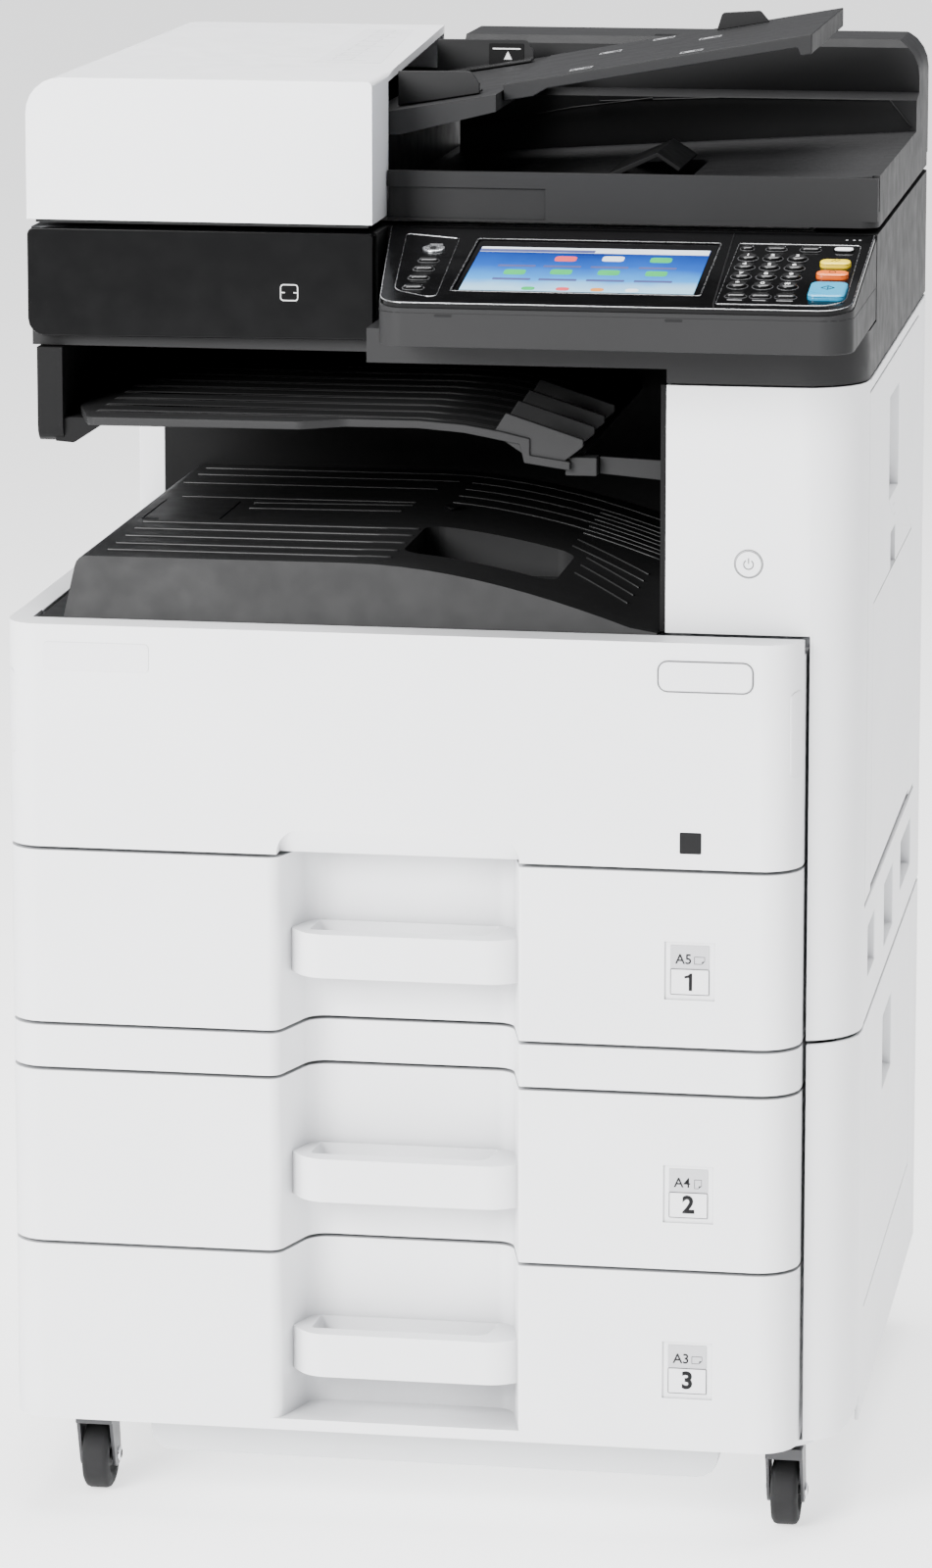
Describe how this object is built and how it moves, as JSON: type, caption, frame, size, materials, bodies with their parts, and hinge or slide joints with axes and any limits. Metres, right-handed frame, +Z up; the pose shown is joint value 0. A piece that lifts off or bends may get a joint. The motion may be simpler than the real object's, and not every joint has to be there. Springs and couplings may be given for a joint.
{
  "type": "photocopier",
  "caption": "Floor-standing A3 photocopier with document feeder, sloped touch panel, output bay and paper drawers on casters.",
  "frame": {"origin": "on the floor, at the middle of the machine's footprint", "axes": "+Z up, -Y towards the user at the front, +X to the user's right"},
  "size_m": [0.594, 0.614, 1.046],
  "materials": {
    "white_plastic": "fine moulded texture, satin",
    "pale_grey_plastic": "matt",
    "dark_grey_plastic": "fine moulded texture, satin",
    "black_plastic": "matt",
    "gloss_black_plastic": "polished",
    "steel_plate": "galvanised",
    "dark_steel": "satin paint",
    "platen_glass": "clear",
    "screen": "touch display",
    "rubber_tyre": "matt",
    "white_foam": "soft foam sheet",
    "yellow_key": "satin",
    "orange_key": "satin",
    "teal_key": "satin",
    "silver_key": "satin metal paint",
    "photoconductor": "coated",
    "heat_roller_coat": "bare",
    "circuit_board": "solder mask"
  },
  "bodies": {
    "machine": {"front_trim_strip": "white_plastic", "feeder_frame": "steel_plate", "main_frame": "steel_plate", "left_cover": "white_plastic", "rear_cover": "white_plastic", "mains_inlet": "black_plastic", "right_column_cover": "white_plastic", "right_side_cover": "white_plastic", "feeder_cover": "white_plastic", "feeder_right_column": "white_plastic", "base_skirt": "pale_grey_plastic", "output_tray": "dark_grey_plastic", "bay_lining": "black_plastic", "separator_tray": "black_plastic", "hook_bracket": "black_plastic", "laser_scanner_unit": "black_plastic", "fuser_frame": "dark_grey_plastic", "main_board": "circuit_board", "scanner_housing": "dark_grey_plastic", "platen_glass": "platen_glass", "gloss_panel": "gloss_black_plastic", "panel_bezel": "gloss_black_plastic", "touchscreen": "screen", "operation_panel_body": "dark_grey_plastic", "toner_container": "black_plastic"},
    "front_cover": {"front_cover": "white_plastic"},
    "drawer_1": {"drawer_front_1": "white_plastic", "drawer_box_1": "pale_grey_plastic"},
    "drawer_2": {"drawer_front_2": "white_plastic", "drawer_box_2": "pale_grey_plastic"},
    "drawer_3": {"drawer_front_3": "white_plastic", "drawer_box_3": "pale_grey_plastic"},
    "document_feeder": {"adf_base": "dark_grey_plastic", "platen_mat": "white_foam"},
    "feeder_top_cover": {"adf_top_cover": "white_plastic"},
    "document_tray": {"document_tray": "dark_grey_plastic"},
    "front_width_guide": {"front_width_guide": "dark_grey_plastic"},
    "rear_width_guide": {"rear_width_guide": "dark_grey_plastic"},
    "tray_stop_flap": {"tray_stop_flap": "dark_grey_plastic"},
    "eject_stopper": {"eject_stopper": "black_plastic"},
    "right_cover": {"right_cover": "white_plastic"},
    "mp_tray": {"mp_tray": "white_plastic"},
    "lower_right_door": {"lower_right_door": "white_plastic"},
    "photoconductor_drum": {"photoconductor_drum": "photoconductor"},
    "heat_roller": {"heat_roller": "heat_roller_coat"},
    "scanner_carriage": {"scanner_carriage": "black_plastic"},
    "start_key": {"start_key": "teal_key"},
    "stop_key": {"stop_key": "orange_key"},
    "reset_key": {"reset_key": "yellow_key"},
    "home_key": {"home_key": "silver_key"},
    "keypad": {"keypad": "black_plastic"},
    "power_button": {"power_button": "white_plastic"},
    "caster_fork_front_left": {"caster_fork_front_left": "dark_steel"},
    "caster_wheel_front_left": {"caster_wheel_front_left": "rubber_tyre"},
    "caster_fork_front_right": {"caster_fork_front_right": "dark_steel"},
    "caster_wheel_front_right": {"caster_wheel_front_right": "rubber_tyre"},
    "caster_fork_rear_left": {"caster_fork_rear_left": "dark_steel"},
    "caster_wheel_rear_left": {"caster_wheel_rear_left": "rubber_tyre"},
    "caster_fork_rear_right": {"caster_fork_rear_right": "dark_steel"},
    "caster_wheel_rear_right": {"caster_wheel_rear_right": "rubber_tyre"}
  },
  "joints": [
    {"name": "front_cover_hinge", "type": "hinge", "parent": "machine", "child": "front_cover", "pos_m": [0, -0.243, 0.495], "axis": [1, 0, 0], "range_deg": [0, 88]},
    {"name": "drawer_1_slide", "type": "slide", "parent": "machine", "child": "drawer_1", "axis": [0, -1, 0], "range_m": [0, 0.38]},
    {"name": "drawer_2_slide", "type": "slide", "parent": "machine", "child": "drawer_2", "axis": [0, -1, 0], "range_m": [0, 0.38]},
    {"name": "drawer_3_slide", "type": "slide", "parent": "machine", "child": "drawer_3", "axis": [0, -1, 0], "range_m": [0, 0.38]},
    {"name": "document_feeder_hinge", "type": "hinge", "parent": "machine", "child": "document_feeder", "pos_m": [0, 0.3, 0.922], "axis": [-1, 0, 0], "range_deg": [0, 60]},
    {"name": "feeder_top_cover_hinge", "type": "hinge", "parent": "document_feeder", "child": "feeder_top_cover", "pos_m": [-0.2905, 0, 0.92], "axis": [0, -1, 0], "range_deg": [0, 75]},
    {"name": "document_tray_hinge", "type": "hinge", "parent": "document_feeder", "child": "document_tray", "pos_m": [0.033, 0, 1.001], "axis": [0, -1, 0], "range_deg": [0, 20]},
    {"name": "front_width_guide_slide", "type": "slide", "parent": "document_feeder", "child": "front_width_guide", "axis": [0, 1, 0], "range_m": [-0.008, 0.06]},
    {"name": "rear_width_guide_slide", "type": "slide", "parent": "document_feeder", "child": "rear_width_guide", "axis": [0, 1, 0], "range_m": [-0.06, 0.008]},
    {"name": "tray_stop_hinge", "type": "hinge", "parent": "document_tray", "child": "tray_stop_flap", "pos_m": [0.157, 0.112, 1.0322], "axis": [-0.9849, 0, -0.1733], "range_deg": [0, 75]},
    {"name": "eject_stopper_hinge", "type": "hinge", "parent": "document_feeder", "child": "eject_stopper", "pos_m": [0.0995, 0, 0.9405], "axis": [0, 1, 0], "range_deg": [0, 12]},
    {"name": "right_cover_hinge", "type": "hinge", "parent": "machine", "child": "right_cover", "pos_m": [0.2945, 0, 0.4505], "axis": [0, 1, 0], "range_deg": [0, 60]},
    {"name": "mp_tray_hinge", "type": "hinge", "parent": "right_cover", "child": "mp_tray", "pos_m": [0.2955, 0, 0.455], "axis": [0, 1, 0], "range_deg": [0, 70]},
    {"name": "lower_right_door_hinge", "type": "hinge", "parent": "machine", "child": "lower_right_door", "pos_m": [0.2945, 0, 0.151], "axis": [0, 1, 0], "range_deg": [0, 60]},
    {"name": "drum_spin", "type": "hinge", "parent": "machine", "child": "photoconductor_drum", "pos_m": [0.19, 0, 0.56], "axis": [0, 1, 0], "continuous": true},
    {"name": "heat_roller_spin", "type": "hinge", "parent": "machine", "child": "heat_roller", "pos_m": [0.205, 0, 0.722], "axis": [0, 1, 0], "continuous": true},
    {"name": "scanner_carriage_slide", "type": "slide", "parent": "machine", "child": "scanner_carriage", "axis": [1, 0, 0], "range_m": [0, 0.38]},
    {"name": "start_key_press", "type": "slide", "parent": "machine", "child": "start_key", "axis": [0, 0.1661, -0.9861], "range_m": [0, 0.0015], "stiffness_N_per_m": 600},
    {"name": "stop_key_press", "type": "slide", "parent": "machine", "child": "stop_key", "axis": [0, 0.1661, -0.9861], "range_m": [0, 0.0012], "stiffness_N_per_m": 500},
    {"name": "reset_key_press", "type": "slide", "parent": "machine", "child": "reset_key", "axis": [0, 0.1661, -0.9861], "range_m": [0, 0.0012], "stiffness_N_per_m": 500},
    {"name": "home_key_press", "type": "slide", "parent": "machine", "child": "home_key", "axis": [0, 0.1661, -0.9861], "range_m": [0, 0.0012], "stiffness_N_per_m": 500},
    {"name": "keypad_press", "type": "slide", "parent": "machine", "child": "keypad", "axis": [0, 0.1661, -0.9861], "range_m": [0, 0.0008], "stiffness_N_per_m": 1500},
    {"name": "power_button_press", "type": "slide", "parent": "machine", "child": "power_button", "axis": [0, 1, 0], "range_m": [0, 0.0015], "stiffness_N_per_m": 500},
    {"name": "caster_swivel_front_left", "type": "hinge", "parent": "machine", "child": "caster_fork_front_left", "pos_m": [-0.248, -0.192, 0.06], "axis": [0, 0, 1], "continuous": true},
    {"name": "caster_wheel_spin_front_left", "type": "hinge", "parent": "caster_fork_front_left", "child": "caster_wheel_front_left", "pos_m": [-0.248, -0.18, 0.025], "axis": [1, 0, 0], "continuous": true},
    {"name": "caster_swivel_front_right", "type": "hinge", "parent": "machine", "child": "caster_fork_front_right", "pos_m": [0.248, -0.192, 0.06], "axis": [0, 0, 1], "continuous": true},
    {"name": "caster_wheel_spin_front_right", "type": "hinge", "parent": "caster_fork_front_right", "child": "caster_wheel_front_right", "pos_m": [0.248, -0.18, 0.025], "axis": [1, 0, 0], "continuous": true},
    {"name": "caster_swivel_rear_left", "type": "hinge", "parent": "machine", "child": "caster_fork_rear_left", "pos_m": [-0.248, 0.192, 0.06], "axis": [0, 0, 1], "continuous": true},
    {"name": "caster_wheel_spin_rear_left", "type": "hinge", "parent": "caster_fork_rear_left", "child": "caster_wheel_rear_left", "pos_m": [-0.248, 0.204, 0.025], "axis": [1, 0, 0], "continuous": true},
    {"name": "caster_swivel_rear_right", "type": "hinge", "parent": "machine", "child": "caster_fork_rear_right", "pos_m": [0.248, 0.192, 0.06], "axis": [0, 0, 1], "continuous": true},
    {"name": "caster_wheel_spin_rear_right", "type": "hinge", "parent": "caster_fork_rear_right", "child": "caster_wheel_rear_right", "pos_m": [0.248, 0.204, 0.025], "axis": [1, 0, 0], "continuous": true}
  ],
  "couplings": [
    {"joint": "rear_width_guide_slide", "follows": "front_width_guide_slide", "ratio": -1},
    {"joint": "heat_roller_spin", "follows": "drum_spin", "ratio": -1.0714}
  ]
}
